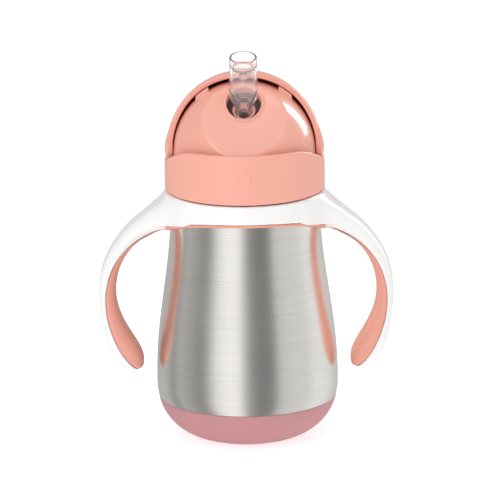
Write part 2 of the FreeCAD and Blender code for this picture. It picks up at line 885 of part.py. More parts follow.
def make_dip_straw():
    start, bend_start, middle, bend_end, foot = straw_line()
    path = Part.Wire([
        Part.LineSegment(start, bend_start).toShape(),
        Part.Arc(bend_start, middle, bend_end).toShape(),
        Part.LineSegment(bend_end, foot).toShape(),
    ])

    def pipe(radius):
        ring = Part.Wire(Part.Circle(start, WELL_AXIS, radius).toShape())
        return path.makePipeShell([ring], True, False)

    tube = pipe(SIZES["straw_radius"]).cut(pipe(SIZES["straw_bore"]))
    return solid_feature("dip_straw", tube.Solids[0])


def on_straw_axis(body):
    body.Placement = Placement(Vector(0, STRAW_Y, 0), Rotation())
    return body


def make_weight_cup():
    wide = L["weight_radius"]
    top = L["straw_foot"] - 3.4
    return on_straw_axis(revolved("weight_cup", (1.8, 8.0), [
        ((4.6, 8.0),),
        ((6.6, 8.0), (wide, 9.6), (wide, 12.2)),
        ((wide, top),),
        ((wide - 1.0, top),),
        ((wide - 1.0, 10.6),),
        ((2.8, 10.6),),
        ((2.8, top),),
        ((1.8, top),),
    ]))


def make_weight_core():
    top = L["straw_foot"] - 3.6
    return on_straw_axis(revolved("weight_core", (2.9, 10.7), [
        ((L["weight_radius"] - 1.1, 10.7),),
        ((L["weight_radius"] - 1.1, top),),
        ((2.9, top),),
    ]))


def make_weight_cap():
    wide = L["weight_radius"]
    low = L["straw_foot"] - 3.3
    socket = L["straw_radius"] + 0.05
    return on_straw_axis(revolved("weight_cap", (1.8, low), [
        ((wide, low),),
        ((wide, low + 1.6),),
        ((wide, low + 4.2), (socket + 2.0, low + 5.4), (socket + 1.2, low + 7.6)),
        ((socket, low + 7.6),),
        ((socket, low + 2.8),),
        ((1.8, low + 2.8),),
    ]))


# ---------------------------------------------------------------- whole cup

NODES = [
    make_outer_shell(),
    make_inner_vessel(),
    make_base_plate(),
    make_vacuum_seal(),
    make_getter_pellet(),
    make_base_boot(),
    make_handle_frame(),
    make_ring_liner(),
    make_grip("right_grip", 0.0),
    make_grip("left_grip", 180.0),
    make_lid_collar(),
    make_threaded_insert(),
    make_dome(),
    make_cover(),
    make_vent_valve(),
    make_lid_gasket(),
    make_spout_base(),
    make_spout_tip(),
    make_dip_straw(),
    make_weight_cup(),
    make_weight_core(),
    make_weight_cap(),
]

doc.recompute()
faults = [item.Name for item in doc.Objects if "Invalid" in item.State or "Error" in item.State]
for node in NODES:
    if node.Shape.isNull() or not node.Shape.isValid() or len(node.Shape.Solids) != 1:
        faults.append(node.Label)
if faults:
    raise SystemExit("failed objects: " + ", ".join(faults))

os.makedirs("parts", exist_ok=True)
for node in NODES:
    node.Shape.exportStep("parts/%s.step" % node.Label)
    bounds = node.Shape.BoundBox
    print("%-16s volume %9.1f  x %6.1f %6.1f  y %6.1f %6.1f  z %6.1f %6.1f" % (
        node.Label, node.Shape.Volume, bounds.XMin, bounds.XMax, bounds.YMin, bounds.YMax,
        bounds.ZMin, bounds.ZMax))
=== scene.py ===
import json
import math

import bmesh
import bpy
import numpy as np
from mathutils import Matrix, Vector


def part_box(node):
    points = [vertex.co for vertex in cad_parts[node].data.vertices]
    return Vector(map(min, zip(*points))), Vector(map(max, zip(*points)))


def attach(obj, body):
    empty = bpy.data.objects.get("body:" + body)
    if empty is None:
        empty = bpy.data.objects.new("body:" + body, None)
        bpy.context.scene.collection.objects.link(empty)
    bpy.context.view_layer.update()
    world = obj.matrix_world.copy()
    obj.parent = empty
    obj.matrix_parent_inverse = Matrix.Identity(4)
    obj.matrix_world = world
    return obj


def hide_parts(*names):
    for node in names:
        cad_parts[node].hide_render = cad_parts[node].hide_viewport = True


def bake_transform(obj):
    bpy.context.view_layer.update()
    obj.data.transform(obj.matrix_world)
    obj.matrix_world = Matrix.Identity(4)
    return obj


# An insulated straw cup for a toddler. Shapes below are worked out in millimetres in the CAD's
# own frame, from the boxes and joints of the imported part, and turned into metres in the meshes.

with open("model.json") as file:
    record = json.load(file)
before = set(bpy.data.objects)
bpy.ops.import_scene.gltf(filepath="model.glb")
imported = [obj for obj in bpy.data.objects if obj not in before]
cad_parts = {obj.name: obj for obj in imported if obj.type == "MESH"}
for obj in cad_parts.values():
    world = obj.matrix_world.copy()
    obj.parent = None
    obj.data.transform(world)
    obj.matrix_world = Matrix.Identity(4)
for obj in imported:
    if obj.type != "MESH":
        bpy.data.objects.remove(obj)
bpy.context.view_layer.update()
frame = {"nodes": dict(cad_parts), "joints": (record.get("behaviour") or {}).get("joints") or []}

MM = 0.001
WELD_REACH = 0.002


def node_box(node):
    """Lowest and highest corner of a CAD node, in millimetres."""
    low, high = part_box(node)
    return np.array(low) / MM, np.array(high) / MM


def joint_anchor(name):
    """A point on a joint's axis, in millimetres."""
    joint = next(item for item in frame["joints"] if item["name"] == name)
    return np.array(joint["pos_m"]) / MM


# ---------------------------------------------------------------- curves

def bezier(a, b, c, d, count):
    """Points of one cubic piece, without its first point."""
    t = np.linspace(0, 1, count + 1)[1:, None]
    a, b, c, d = (np.array(point, float) for point in (a, b, c, d))
    return a * (1 - t) ** 3 + 3 * b * t * (1 - t) ** 2 + 3 * c * t * t * (1 - t) + d * t ** 3


def outline_points(start, steps, count=60):
    """An outline from corners and curves: a step is (corner,) or (handle, handle, corner)."""
    points = [np.array([start], float)]
    for step in steps:
        here = points[-1][-1]
        if len(step) == 1:
            points.append(np.array([step[0]], float))
        else:
            points.append(bezier(here, *step, count))
    return np.concatenate(points)


def arc_points(centre, radius, first, last, count=24):
    """Points on a circle between two angles in degrees."""
    angle = np.radians(np.linspace(first, last, count))
    return np.stack([centre[0] + radius * np.cos(angle), centre[1] + radius * np.sin(angle)], 1)


# ---------------------------------------------------------------- distance fields

def round_max(a, b, r):
    """The part inside both, with its edge rounded to a radius."""
    hollow = np.sqrt(np.maximum(a + r, 0) ** 2 + np.maximum(b + r, 0) ** 2)
    return np.minimum(np.maximum(a, b), -r) + hollow


def round_min(a, b, r):
    """Both together, with a fillet of a radius where they meet."""
    return -round_max(-a, -b, r)


def length(*parts):
    """Square root of the sum of squares."""
    total = 0
    for part in parts:
        total = total + part * part
    return np.sqrt(total)


class Outline:
    """Signed distance to a closed outline in a plane, kept on a fine grid; inside is negative."""

    def __init__(self, points, low, high, step=0.3):
        self.low = np.array(low, float)
        self.step = step
        size = np.ceil((np.array(high, float) - self.low) / step).astype(int) + 1
        a = self.low[0] + step * np.arange(size[0])
        b = self.low[1] + step * np.arange(size[1])
        here = np.stack(np.meshgrid(a, b, indexing="ij"), -1).reshape(-1, 2)
        nearest = np.full(len(here), 1e12)
        inside = np.zeros(len(here), bool)
        for p, q in zip(points, np.roll(points, -1, 0)):
            side = q - p
            square = side @ side
            if square < 1e-12:
                continue
            away = here - p
            along = np.clip(away @ side / square, 0, 1)
            gap = away - along[:, None] * side
            nearest = np.minimum(nearest, (gap * gap).sum(1))
            if p[1] != q[1]:
                crossing = (p[1] > here[:, 1]) != (q[1] > here[:, 1])
                reach = p[0] + (here[:, 1] - p[1]) * side[0] / side[1]
                inside ^= crossing & (here[:, 0] < reach)
        distance = np.sqrt(nearest)
        distance[inside] *= -1
        self.table = distance.reshape(size)

    def __call__(self, a, b):
        a, b = np.broadcast_arrays(a, b)
        rows, columns = self.table.shape
        u = np.clip((a - self.low[0]) / self.step, 0, rows - 1.001)
        v = np.clip((b - self.low[1]) / self.step, 0, columns - 1.001)
        i, j = u.astype(int), v.astype(int)
        u, v = u - i, v - j
        table = self.table
        return ((table[i, j] * (1 - u) + table[i + 1, j] * u) * (1 - v)
                + (table[i, j + 1] * (1 - u) + table[i + 1, j + 1] * u) * v)


def surface_net(field, low, high, step):
    """Vertices and quads of the surface where a field is zero."""
    low = np.array(low, float) + 0.013 * step
    size = np.ceil((np.array(high, float) - low) / step).astype(int) + 1
    x, y, z = (low[i] + step * np.arange(size[i]) for i in range(3))
    values = np.concatenate([
        np.broadcast_to(field(x[i:i + 16, None, None], y[None, :, None], z[None, None, :]),
                        (len(x[i:i + 16]), size[1], size[2]))
        for i in range(0, size[0], 16)])
    inside = values < 0
    corners = [(i, j, k) for i in (0, 1) for j in (0, 1) for k in (0, 1)]
    cells = tuple(size - 1)
    filled = np.zeros(cells, np.int8)
    for i, j, k in corners:
        filled += inside[i:i + cells[0], j:j + cells[1], k:k + cells[2]]
    active = (filled > 0) & (filled < 8)
    index = np.full(cells, -1, np.int64)
    index[active] = np.arange(active.sum())
    where = np.argwhere(active)
    total = np.zeros((len(where), 3))
    hits = np.zeros(len(where))
    for axis in range(3):
        for corner in corners:
            if corner[axis]:
                continue
            start = where + corner
            end = start.copy()
            end[:, axis] += 1
            a = values[tuple(start.T)]
            b = values[tuple(end.T)]
            crossed = (a < 0) != (b < 0)
            share = np.where(crossed, a / np.where(crossed, a - b, 1), 0)
            point = np.array(corner, float) + np.zeros((len(where), 3))
            point[:, axis] = share
            total += point * crossed[:, None]
            hits += crossed
    vertices = low + step * (where + total / hits[:, None])
    quads = []
    for axis in range(3):
        other, third = (axis + 1) % 3, (axis + 2) % 3
        near = [slice(1, None)] * 3
        near[axis] = slice(0, -1)
        far = list(near)
        far[axis] = slice(1, None)
        a, b = inside[tuple(near)], inside[tuple(far)]
        found = np.argwhere(a != b)
        if not len(found):
            continue
        rising = b[tuple(found.T)]
        base = found.copy()
        base[:, other] += 1
        base[:, third] += 1
        ring = []
        for back_other, back_third in ((1, 1), (0, 1), (0, 0), (1, 0)):
            cell = base.copy()
            cell[:, other] -= back_other
            cell[:, third] -= back_third
            keep = np.minimum(cell, np.array(cells) - 1)
            ring.append(index[tuple(keep.T)])
        ring = np.stack(ring, 1)
        ring[rising] = ring[rising][:, ::-1]
        quads.append(ring)
    quads = np.concatenate(quads)
    return vertices, quads[(quads >= 0).all(1)]


def slope(field, points, reach=0.04):
    """Numerical gradient of a field."""
    parts = []
    for axis in range(3):
        shift = np.zeros(3)
        shift[axis] = reach
        a, b = (points + shift).T, (points - shift).T
        parts.append((field(*a) - field(*b)) / (2 * reach))
    return np.stack(parts, 1)


def relaxed(vertices, quads):
    """Vertices drawn halfway towards the mean of their neighbours, twice."""
    pairs = np.concatenate([quads[:, [i, (i + 1) % 4]] for i in range(4)])
    pairs = np.concatenate([pairs, pairs[:, ::-1]])
    count = np.maximum(np.bincount(pairs[:, 0], minlength=len(vertices)), 1)[:, None]
    for _ in range(2):
        total = np.stack([np.bincount(pairs[:, 0], vertices[pairs[:, 1], i], len(vertices))
                          for i in range(3)], 1)
        vertices = 0.5 * vertices + 0.5 * total / count
    return vertices


def carved(name, field, low, high, step=0.5):
    """A closed piece from a distance field, with its vertices pulled onto the true surface."""
    vertices, quads = surface_net(field, low, high, step)
    vertices = relaxed(vertices, quads)
    for _ in range(3):
        rise = slope(field, vertices)
        square = np.maximum((rise * rise).sum(1), 0.2)
        move = -field(*vertices.T)[:, None] * rise / square[:, None]
        size = np.maximum(length(*move.T), 1e-9)[:, None]
        vertices = vertices + move * np.minimum(1, 0.4 * step / size)
    piece = make_mesh(name, vertices, quads)
    soft = slope(field, vertices, 0.25)
    soft /= np.maximum(length(*soft.T), 1e-6)[:, None]
    if len(piece.data.vertices) == len(soft):
        piece.data.normals_split_custom_set_from_vertices(soft.tolist())
    return piece


def make_mesh(name, vertices, faces):
    """A smooth-shaded object from millimetre vertices."""
    mesh = bpy.data.meshes.new(name)
    mesh.from_pydata((np.asarray(vertices) * MM).tolist(), [], np.asarray(faces).tolist())
    mesh.validate()
    mesh.update()
    mesh.shade_smooth()
    piece = bpy.data.objects.new(name, mesh)
    bpy.context.scene.collection.objects.link(piece)
    return piece


def turned(name, profile, segments=256, place=None, ripple=None):
    """A closed body of revolution from an outline of (radius, height) points.

    place(height) gives the centre and the tilt there; ripple(angle, points) changes the radii.
    """
    profile = np.asarray(profile, float)
    angles = np.linspace(0, 2 * math.pi, segments, endpoint=False)
    rings = []
    for angle in angles:
        points = profile if ripple is None else ripple(angle, profile)
        rings.append(np.stack([points[:, 0] * math.cos(angle), points[:, 0] * math.sin(angle),
                               points[:, 1]], 1))
    rings = np.array(rings)
    if place is not None:
        heights = rings[..., 2]
        centre, tilt = place(heights)
        rings = centre + np.stack([rings[..., 0], rings[..., 1] * np.cos(tilt),
                                   rings[..., 1] * np.sin(tilt)], -1)
    count = len(profile)
    vertices = rings.reshape(-1, 3)
    i = np.arange(segments)[:, None]
    j = np.arange(count)[None, :]
    here, beside = i * count, ((i + 1) % segments) * count
    after = (j + 1) % count
    faces = np.stack([here + j, beside + j, beside + after, here + after], -1).reshape(-1, 4)
    return weld(make_mesh(name, vertices, faces))


def weld(piece):
    """Closes the poles of a turned piece."""
    work = bmesh.new()
    work.from_mesh(piece.data)
    bmesh.ops.remove_doubles(work, verts=work.verts, dist=WELD_REACH * MM)
    bmesh.ops.recalc_face_normals(work, faces=work.faces)
    work.to_mesh(piece.data)
    work.free()
    piece.data.shade_smooth()
    return piece


def smoothed(points, radius):
    """Rounds the corners of a closed outline by cutting each one with a short curve."""
    result = []
    count = len(points)
    for i in range(count):
        before, here, after = points[i - 1], points[i], points[(i + 1) % count]
        back, ahead = before - here, after - here
        lengths = np.linalg.norm(back), np.linalg.norm(ahead)
        turn = np.dot(back, ahead) / max(lengths[0] * lengths[1], 1e-9)
        if turn < -0.94 or here[0] < 1e-6:
            result.append(here[None])
            continue
        reach = min(radius, 0.45 * min(lengths))
        a = here + back / lengths[0] * reach
        b = here + ahead / lengths[1] * reach
        t = np.linspace(0, 1, 6)[:, None]
        result.append(a * (1 - t) ** 2 + 2 * here * t * (1 - t) + b * t * t)
    return np.concatenate(result)


# ---------------------------------------------------------------- materials

def new_material(name):
    """A material with its nodes, links and main shader."""
    material = bpy.data.materials.new(name)
    material.use_nodes = True
    nodes = material.node_tree.nodes
    shader = nodes.get("Principled BSDF")
    return material, nodes, material.node_tree.links, shader


def add_node(nodes, kind, **values):
    """A node with its settings and the values on its sockets."""
    node = nodes.new(kind)
    for key, value in values.items():
        if key in node.inputs:
            node.inputs[key].default_value = value
        else:
            setattr(node, key, value)
    return node


def object_noise(nodes, links, stretch, scale, detail=4.0):
    """Noise laid over the object's own coordinates."""
    place = nodes.new("ShaderNodeTexCoord")
    mapping = nodes.new("ShaderNodeMapping")
    mapping.inputs["Scale"].default_value = stretch
    noise = nodes.new("ShaderNodeTexNoise")
    noise.inputs["Scale"].default_value = scale
    noise.inputs["Detail"].default_value = detail
    links.new(place.outputs["Object"], mapping.inputs["Vector"])
    links.new(mapping.outputs["Vector"], noise.inputs["Vector"])
    return noise


def ramp(nodes, links, source, low, high, start=0.3, end=0.7):
    """Turns noise into a colour or a value between two ends."""
    node = nodes.new("ShaderNodeValToRGB")
    first, last = node.color_ramp.elements
    first.position, last.position = start, end
    first.color = tuple(low) + (1.0,) if hasattr(low, "__len__") else (low, low, low, 1.0)
    last.color = tuple(high) + (1.0,) if hasattr(high, "__len__") else (high, high, high, 1.0)
    links.new(source, node.inputs["Fac"])
    return node.outputs["Color"]


def moulded(name, colour, shade, rough=(0.3, 0.4), grain=0.0, gloss=0.5):
    """Moulded plastic or silicone: faint colour drift, uneven gloss and, if any, a fine grain."""
    material, nodes, links, shader = new_material(name)
    drift = object_noise(nodes, links, (1, 1, 1), 35.0, 1.0)
    links.new(ramp(nodes, links, drift.outputs["Fac"], shade, colour), shader.inputs["Base Color"])
    wear = object_noise(nodes, links, (1, 1, 1), 120.0, 1.0)
    links.new(ramp(nodes, links, wear.outputs["Fac"], rough[0], rough[1]),
              shader.inputs["Roughness"])
    if grain:
        fine = object_noise(nodes, links, (1, 1, 1), 700.0, 2.0)
        bump = add_node(nodes, "ShaderNodeBump", Strength=grain, Distance=0.0002)
        links.new(fine.outputs["Fac"], bump.inputs["Height"])
        links.new(bump.outputs["Normal"], shader.inputs["Normal"])
    shader.inputs["Specular IOR Level"].default_value = gloss
    return material


def brushed_steel(name, colour, rough, streak=1.0, spread=0.6, bump_size=0.05):
    """Steel brushed around its axis: long fine lines that run level around the cup."""
    material, nodes, links, shader = new_material(name)
    lines = object_noise(nodes, links, (25, 25, 3600), 1.0, 4.0)
    bands = object_noise(nodes, links, (12, 12, 900), 1.0, 3.0)
    patches = object_noise(nodes, links, (18, 18, 30), 1.0, 2.0)
    blend = add_node(nodes, "ShaderNodeMix", data_type="RGBA", blend_type="MIX")
    blend.inputs["Factor"].default_value = 0.18
    links.new(lines.outputs["Fac"], blend.inputs["A"])
    links.new(bands.outputs["Fac"], blend.inputs["B"])
    mixed = blend.outputs["Result"]
    dark = [channel * (1 - 0.08 * streak) for channel in colour]
    links.new(ramp(nodes, links, mixed, dark, colour, 0.36, 0.62), shader.inputs["Base Color"])
    links.new(ramp(nodes, links, patches.outputs["Fac"], rough[0], rough[1]),
              shader.inputs["Roughness"])
    bump = add_node(nodes, "ShaderNodeBump", Strength=bump_size, Distance=0.00005)
    links.new(mixed, bump.inputs["Height"])
    links.new(bump.outputs["Normal"], shader.inputs["Normal"])
    shader.inputs["Metallic"].default_value = 1.0
    shader.inputs["Anisotropic"].default_value = spread
    tangent = add_node(nodes, "ShaderNodeTangent", direction_type="RADIAL", axis="Z")
    links.new(tangent.outputs["Tangent"], shader.inputs["Tangent"])
    return material


def clear_silicone(name, tint, rough):
    """See-through silicone with a faint haze and slow ripples."""
    material, nodes, links, shader = new_material(name)
    haze = object_noise(nodes, links, (1, 1, 1), 160.0)
    links.new(ramp(nodes, links, haze.outputs["Fac"], rough[0], rough[1]),
              shader.inputs["Roughness"])
    dark = [channel * 0.97 for channel in tint]
    links.new(ramp(nodes, links, haze.outputs["Fac"], dark, tint), shader.inputs["Base Color"])
    ripple = object_noise(nodes, links, (1, 1, 0.4), 190.0, 2.0)
    bump = add_node(nodes, "ShaderNodeBump", Strength=0.16, Distance=0.0006)
    links.new(ripple.outputs["Fac"], bump.inputs["Height"])
    links.new(bump.outputs["Normal"], shader.inputs["Normal"])
    shader.inputs["Transmission Weight"].default_value = 0.93
    shader.inputs["IOR"].default_value = 1.3
    return material


PINK = moulded("salmon_plastic", (0.915, 0.425, 0.335), (0.905, 0.415, 0.325), (0.32, 0.36))
GLOSS_PINK = moulded("salmon_gloss_plastic", (0.915, 0.425, 0.335), (0.905, 0.415, 0.325),
                     (0.16, 0.19))
OLD_PINK = moulded("boot_silicone", (0.56, 0.258, 0.272), (0.55, 0.248, 0.262), (0.42, 0.55),
                   grain=0.08)
SOFT_PINK = moulded("grip_silicone", (0.86, 0.375, 0.290), (0.84, 0.36, 0.275), (0.40, 0.52),
                    grain=0.06)
WHITE = moulded("white_plastic", (0.93, 0.93, 0.92), (0.92, 0.92, 0.91), (0.28, 0.31))
STEEL = brushed_steel("brushed_steel", (0.93, 0.905, 0.865), (0.17, 0.23))
STEEL_INSIDE = brushed_steel("polished_steel", (0.72, 0.71, 0.70), (0.12, 0.2), 0.4, 0.3, 0.03)
SOLDER = brushed_steel("solder_grey", (0.36, 0.36, 0.37), (0.45, 0.6), 1.0, 0.0, 0.3)
CLEAR = clear_silicone("clear_silicone", (0.985, 0.945, 0.95), (0.03, 0.08))
# Near-black silicone for the spout seat: its dark colour is painted shade, standing in for the
# deep shade inside the spout well.
WELL_SHADE_SILICONE = moulded("seat_silicone_painted_well_shade", (0.075, 0.055, 0.055), (0.06, 0.045, 0.045), (0.10, 0.18),
                grain=0.02, gloss=0.6)
SEAL = moulded("seal_silicone", (0.80, 0.80, 0.79), (0.76, 0.76, 0.75), (0.45, 0.6), grain=0.08)


def dress(piece, material, body=None, replaces=()):
    """Gives a piece its material, the body it rides and the CAD nodes it replaces."""
    piece.data.materials.clear()
    piece.data.materials.append(material)
    if body:
        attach(piece, body)
    if replaces:
        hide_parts(*replaces)
    return piece


# ---------------------------------------------------------------- steel bottle and boot

boot_high = node_box("base_boot")[1]
shell_high = node_box("outer_shell")[1]
foot, boot_top = 20.0, boot_high[2]
belly = shell_high[0]
rim = shell_high[2]
SHOULDER = (33.4, 91.0)
WAIST = (32.0, 108.5)
NECK = 30.2


def steel_profile():
    """Section of the outer wall: base, belly, waist, shoulder, threaded neck and rolled rim."""
    side = outline_points((36.6, 12.5), [
        ((37.9, boot_top + 0.02),),
        ((39.0, boot_top + 0.05),),
        ((39.16, boot_top + 0.08), (39.17, boot_top + 0.15), (39.2, boot_top + 0.4)),
        ((belly - 0.3, 20.0), (belly, 22.5), (belly, 25.3)),
        ((belly, 51.6), (35.36, 66.5), SHOULDER),
    ], 90)
    waist = np.stack([np.linspace(SHOULDER[0], WAIST[0], 12)[1:],
                      np.linspace(SHOULDER[1], WAIST[1], 12)[1:]], 1)
    shoulder = bezier(WAIST, (31.9, 110.0), (NECK + 0.2, 110.2), (NECK, 112.2), 16)
    neck = np.stack([np.full(60, NECK), np.linspace(112.5, rim - 1.0, 60)], 1)
    roll = arc_points((NECK - 0.8, rim - 0.8), 0.8, 0, 180, 12)
    outside = np.concatenate([side, waist, shoulder, neck, roll])
    inside = outside[3:len(side) + len(waist) + len(shoulder)][::-4] - np.array([0.55, 0.0])
    inside = inside[inside[:, 1] > boot_top + 0.6]
    lower = np.array([[NECK - 0.6, rim - 1.2], [NECK - 0.6, 113.0]])
    under = np.array([[35.9, 12.6]])
    return np.concatenate([outside, lower, inside, under])


THREAD_PITCH, THREAD_DEPTH, THREAD_START, THREAD_TURNS = 5.0, 0.8, 113.6, 1.3


def thread(angle, points):
    """Adds the raised screw thread to the neck."""
    centre = THREAD_START + THREAD_PITCH * (angle / (2 * math.pi))
    result = points.copy()
    on_neck = (np.abs(points[:, 0] - NECK) < 0.05) & (points[:, 1] > 112)
    for lap in range(2):
        middle = centre + THREAD_PITCH * lap
        progress = angle / (2 * math.pi) + lap
        fade = np.clip(min(progress, THREAD_TURNS - progress) / 0.06, 0, 1)
        bulge = np.clip(1.5 - np.abs(points[:, 1] - middle) * 1.6, 0, 1)
        result[:, 0] += np.where(on_neck, THREAD_DEPTH * fade * bulge ** 0.8, 0)
    return result


steel = turned("steel_bottle", steel_profile(), 288, ripple=thread)
dress(steel, STEEL, "bottle", ["outer_shell"])

boot_outline = outline_points((0.0, 0.8), [
    ((13.0, 0.8),),
    ((13.6, 0.8), (14.0, 0.0), (14.8, 0.0)),
    ((foot, 0.0),),
    ((foot + 2.6, 0.0), (35.7, 3.45), (39.16, boot_top - 0.45)),
    ((39.14, boot_top - 0.12), (39.05, boot_top), (38.8, boot_top)),
    ((38.05, boot_top),),
    ((34.3, 4.6), (22.0, 1.25), (19.0, 1.22)),
    ((0.0, 1.22),),
], 48)
boot = turned("soft_boot", boot_outline, 288)
dress(boot, OLD_PINK, "bottle", ["base_boot"])

# ---------------------------------------------------------------- handles

ring_high = node_box("handle_frame")[1]
RING_TOP = ring_high[2]
RING_RADIUS = 34.5
REACH = ring_high[0]
TIP = (48.3, 29.6)

outer_side = [
    ((35.9, 108.2), (37.2, 107.1), (38.8, 105.8)),
    ((42.2, 103.1), (45.7, 100.3), (49.1, 97.6)),
    ((56.5, 91.2), (REACH, 79.5), (REACH, 66.0)),
    ((REACH, 55.0), (62.5, 44.0), (59.6, 37.5)),
    ((57.6, 33.0), (54.0, 29.0), TIP),
]
border = [
    ((53.6, 32.6), (62.4, 47.0), (62.4, 62.0)),
    ((62.4, 76.0), (56.0, 86.0), (44.7, 92.2)),
    ((41.8, 94.0), (38.4, 95.9), (34.0, 96.1)),
    ((24.4, 96.1),),
    ((24.4, 110.4),),
]
inner_side = [
    ((46.6, 29.8), (45.3, 31.2), (45.7, 34.8)),
    ((46.2, 41.5), (57.4, 50.5), (57.4, 65.0)),
    ((57.4, 78.0), (51.0, 87.5), (44.0, 91.2)),
    ((41.2, 92.9), (38.0, 94.9), (34.0, 95.1)),
    ((24.4, 95.1),),
    ((24.4, 110.4),),
]
ARM_TOP = (34.9, 110.4)
plane_low, plane_high = (18.0, 24.0), (70.0, 116.0)
hard_outline = Outline(outline_points(ARM_TOP, outer_side + border, 90), plane_low, plane_high)
arm_outline = Outline(outline_points(ARM_TOP, outer_side + inner_side, 90), plane_low, plane_high)
saddle_steps = [
    ((9.4, 96.2),),
    ((17.0, 98.6), (25.0, 101.9), (36.0, 102.9)),
    ((60.0, 102.9),),
    ((60.0, RING_TOP),),
    ((-60.0, RING_TOP),),
    ((-60.0, 96.2),),
]
ring_side = Outline(outline_points((0.0, 96.2), saddle_steps, 60), (-1.0, 88.0), (48.0, 114.0))
under_web = Outline(outline_points((10.6, 60.0), [
    ((10.6, 96.7),),
    ((17.0, 98.6), (25.0, 101.9), (36.0, 102.9)),
    ((60.0, 102.9),),
    ((60.0, 60.0),),
], 60), (-1.0, 70.0), (48.0, 116.0))

plan = outline_points((0.0, RING_RADIUS * math.sqrt(2)), [
    ((34.0, RING_RADIUS * math.sqrt(2) - 34.0),),
    ((38.0, RING_RADIUS * math.sqrt(2) - 38.0), (44.0, 9.7), (50.0, 9.4)),
    ((80.0, 8.2),),
], 60)


def web_side(x, y):
    """Distance outside the arm's plan outline, which leaves the ring along its tangent."""
    half = np.interp(x, plan[:, 0], plan[:, 1])
    steep = (np.interp(x + 0.2, plan[:, 0], plan[:, 1]) - half) / 0.2
    return (y - half) / np.sqrt(1 + steep * steep)


def tip_taper(z):
    """How much narrower the arm is towards its open end."""
    return 0.014 * np.maximum(46.0 - z, 0.0) ** 2


def waist(z):
    """Radius of the steel behind the ring."""
    return SHOULDER[0] - 0.08 * (z - SHOULDER[1])


def white_field(x, y, z):
    """The hard ring with its saddle-shaped lower edge, and the outer layer of the arms."""
    x, y = np.abs(x), np.abs(y)
    q = length(x, y)
    arm = round_max(arm_outline(x, z), web_side(x, y) + tip_taper(z), 4.4)
    arm = round_max(arm, hard_outline(x, z) - 0.4, 0.3)
    arm = round_max(arm, -under_web(y, z), 0.5)
    ring = round_max(q - RING_RADIUS, ring_side(y, z), 1.1)
    both = round_min(arm, ring, 2.5)
    both = round_max(both, z - RING_TOP, 0.8)
    return round_max(both, waist(z) + 0.9 - q, 0.25)


def soft_field(x, y, z):
    """The soft inner layer of the arms, the lip under the ring and the sleeve inside it."""
    x, y = np.abs(x), np.abs(y)
    q = length(x, y)
    side = np.maximum(web_side(x, y), y - 10.6) + tip_taper(z)
    bend = np.interp(z, [74.0, 91.0], [5.2, 2.0])
    arm = round_max(arm_outline(x, z) + 0.05, side + 0.35, bend)
    arm = round_max(arm, 0.46 - hard_outline(x, z), 0.25)
    arm = np.maximum(arm, 30.0 - x)
    web = np.maximum(web_side(x, y), np.maximum(x - 35.5, 24.4 - x))
    plan_side = np.minimum(q - RING_RADIUS, web)
    lip = round_max(plan_side + 0.5, ring_side(y, z + 1.2), 0.4)
    lip = np.maximum(lip, 0.04 - ring_side(y, z))
    sleeve = np.maximum(np.maximum(q - waist(z) - 0.86, z - RING_TOP + 0.4), 94.0 - z)
    sleeve = np.maximum(sleeve, ring_side(y, z + 1.2))
    both = round_min(round_min(arm, lip, 1.2), sleeve, 0.2)
    return np.maximum(both, waist(z) + 0.25 - q)


white = carved("white_handles", white_field, (-66, -36, 28), (66, 36, 113), 0.48)
dress(white, WHITE, "handles", ["handle_frame"])
grips = carved("soft_liner_and_grips", soft_field, (-65, -36, 28), (65, 36, 112), 0.5)
dress(grips, SOFT_PINK, "handles", ["ring_liner", "right_grip", "left_grip"])

# ---------------------------------------------------------------- lid

PIVOT = joint_anchor("cover_swing")
collar_low, collar_high = node_box("lid_collar")
COLLAR = collar_high[0]
COLLAR_WALL = 2.0
EAR, EDGE_LEVEL, EDGE_ROUND, EDGE_SLOPE = 5.6, 4.2, 25.0, math.radians(23.0)
SWING = 80.0
FAR = 60.0


def edge_line(gap):
    """The collar's edge as (forward, up) points from the pivot: ear arc, slope, round, level."""
    ear, level, bend = EAR + gap, EDGE_LEVEL - gap, EDGE_ROUND - gap
    along = np.array([math.cos(EDGE_SLOPE), math.sin(EDGE_SLOPE)])
    start = np.array([ear * math.sin(EDGE_SLOPE), -ear * math.cos(EDGE_SLOPE)])
    corner = start + along * (level - start[1]) / along[1]
    back = bend * math.tan(EDGE_SLOPE / 2)
    first = corner - along * back
    last = corner + np.array([back, 0.0])
    round_part = arc_points((last[0], level - bend), bend, 90 + math.degrees(EDGE_SLOPE), 90, 40)
    return np.concatenate([[start, first], round_part[1:], [[FAR, level]]])


def turned_back(points, degrees):
    """Points turned about the pivot."""
    angle = math.radians(degrees)
    return np.stack([points[:, 0] * math.cos(angle) - points[:, 1] * math.sin(angle),
                     points[:, 0] * math.sin(angle) + points[:, 1] * math.cos(angle)], 1)


collar_edge = edge_line(0.35)
ear_arc = arc_points((0, 0), EAR + 0.35, -90, -90 + math.degrees(EDGE_SLOPE), 12)
collar_outline = Outline(
    np.concatenate([[[-FAR, -30]], [[-FAR, ear_arc[0, 1]]], ear_arc, collar_edge,
                    [[FAR, -30]]]), (-1, -22), (42, 12), 0.25)

DROP_HEIGHT = 124.0


def drop_shape(s, h):
    """A plain drop, point up, about 6 by 10 mm."""
    bowl = length(s, h + 1.6) - 2.9
    slant = (np.abs(s) * 0.88 + (h - 4.6) * 0.475)
    tip = np.maximum(slant, -h - 0.6)
    return np.minimum(bowl, tip)


def collar_field(x, y, z):
    """The lid's outer sleeve with its wavy top edge and the raised drop on the front."""
    q = length(x, y)
    up = z - PIVOT[2]
    wall = round_max(q - COLLAR, collar_low[2] - z, 1.5)
    wall = round_max(wall, COLLAR - COLLAR_WALL - q, 0.3)
    wall = round_max(wall, collar_outline(np.abs(y), up), 0.75)
    round_x = COLLAR * np.arctan2(x, -y)
    mark = round_max(drop_shape(round_x, z - DROP_HEIGHT), q - COLLAR - 0.42, 0.4)
    mark = np.maximum(mark, COLLAR - 1.0 - q)
    mark = np.where(y < 0, mark, 9.0)
    return round_min(wall, mark, 0.35)


